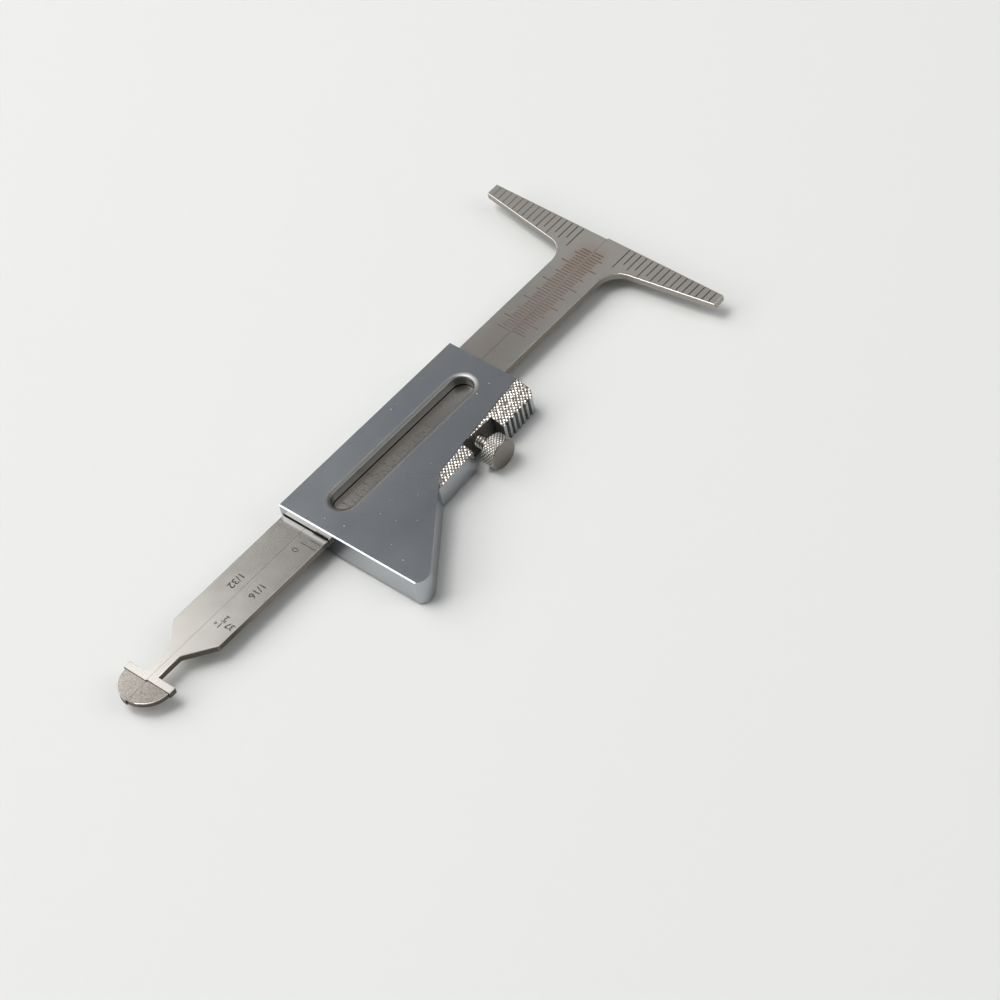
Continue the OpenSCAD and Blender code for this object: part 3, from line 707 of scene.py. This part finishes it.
# Pale matt board under the gauge: a fine tooth and hardly any shine, so it takes a soft shadow;
# its size is in metres
floorLook = {"colour": "#dadad7", "size": 4.0, "below": 0.01, "rough": 0.7, "shine": 0.2,
             "toothMm": 2.0, "bump": 0.02, "bumpMm": 0.05}
pale, tree, shader, place = startMaterial("pale matt board")
tooth = addNode(tree, "ShaderNodeTexNoise", {
    "Vector": place, "Scale": 1 / (floorLook["toothMm"] * mm), "Detail": 2.0})
bump = addNode(tree, "ShaderNodeBump", {
    "Height": tooth.outputs["Fac"], "Strength": floorLook["bump"], "Distance": floorLook["bumpMm"] * mm})
tree.links.new(bump.outputs["Normal"], shader.inputs["Normal"])
shader.inputs["Base Color"].default_value = linear(floorLook["colour"])
shader.inputs["Roughness"].default_value = floorLook["rough"]
shader.inputs["Specular IOR Level"].default_value = floorLook["shine"]
bm = bmesh.new()
bmesh.ops.create_grid(bm, x_segments=1, y_segments=1, size=floorLook["size"])
bmesh.ops.translate(bm, vec=(0, 0, cadBox[0].z - floorLook["below"] * mm), verts=bm.verts)
floor = looseObject(bm, "floor")
floor.data.materials.append(pale)
print("laid the floor")

world = bpy.data.worlds.new("studio")
bpy.context.scene.world = world
world.use_nodes = True
# the room is lighter on the key's side and darker opposite
room = {"light": "#c8cbce", "dark": "#b4b7ba", "strength": 0.5, "azimuth": 200}
tree = world.node_tree
keyWay = Matrix.Rotation(radians(room["azimuth"]), 3, "Z") @ Vector((1, 0, 0))
outward = addNode(tree, "ShaderNodeTexCoord").outputs["Generated"]
toward = addNode(tree, "ShaderNodeVectorMath", {0: outward, 1: keyWay}, operation="DOT_PRODUCT")
side = addNode(tree, "ShaderNodeMapRange", {
    "Value": toward.outputs["Value"], "From Min": -0.7, "From Max": 0.7}, interpolation_type="SMOOTHSTEP")
wall = addNode(tree, "ShaderNodeMix", {
    "Factor": side.outputs[0], 6: linear(room["dark"]), 7: linear(room["light"])}, data_type="RGBA")
tree.links.new(wall.outputs[2], tree.nodes["Background"].inputs["Color"])
tree.nodes["Background"].inputs["Strength"].default_value = room["strength"]

# each lamp looks at the gauge's middle: azimuth in degrees from +X towards +Y, height in degrees,
# far and size in metres, power in watts
lamps = {"key softbox": {"azimuth": 194, "height": 48, "far": 2.2, "size": 2.2, "power": 36.0},
         "front strip": {"azimuth": -125, "height": 25, "far": 2.4, "size": 1.0, "power": 10.0},
         "overhead": {"azimuth": 205, "height": 72, "far": 2.4, "size": 1.0, "power": 20.0},
         "far fill": {"azimuth": 38, "height": 44, "far": 2.4, "size": 1.8, "power": 8.4},
         "edge strip": {"azimuth": 30, "height": 32, "far": 2.4, "size": 0.7, "power": 4.0}}
middle = (cadBox[0] + cadBox[1]) / 2
for name, lamp in lamps.items():
    light = bpy.data.lights.new(name, "AREA")
    light.energy, light.size = lamp["power"], lamp["size"]
    obj = bpy.data.objects.new(name, light)
    bpy.context.scene.collection.objects.link(obj)
    height = radians(lamp["height"])
    away = Matrix.Rotation(radians(lamp["azimuth"]), 3, "Z") @ Vector((cos(height), 0, sin(height)))
    obj.location = middle + away * lamp["far"]
    obj.rotation_euler = (-away).to_track_quat("-Z", "Y").to_euler()
print("set", len(lamps), "lamps")

# the camera stands where the picture was taken from: place and aim in mm, roll in degrees, clip in metres
view = {"place": (438.29, -301.58, 582.72), "aim": (29.06, 27.63, 3.74), "roll": -13.718,
        "lens": 138.84, "sensor": 36, "clip": (0.01, 20)}
camera = bpy.data.objects.new("camera", bpy.data.cameras.new("camera"))
bpy.context.scene.collection.objects.link(camera)
camera.data.lens, camera.data.sensor_width = view["lens"], view["sensor"]
camera.location = Vector(view["place"]) * mm
sight = (Vector(view["aim"]) - Vector(view["place"])).to_track_quat("-Z", "Y")
camera.rotation_mode = "QUATERNION"
camera.rotation_quaternion = sight @ Quaternion((0, 0, 1), radians(view["roll"]))
camera.data.clip_start, camera.data.clip_end = view["clip"]
bpy.context.scene.camera = camera
bpy.context.scene.view_settings.view_transform = "Standard"

print("scene ready")
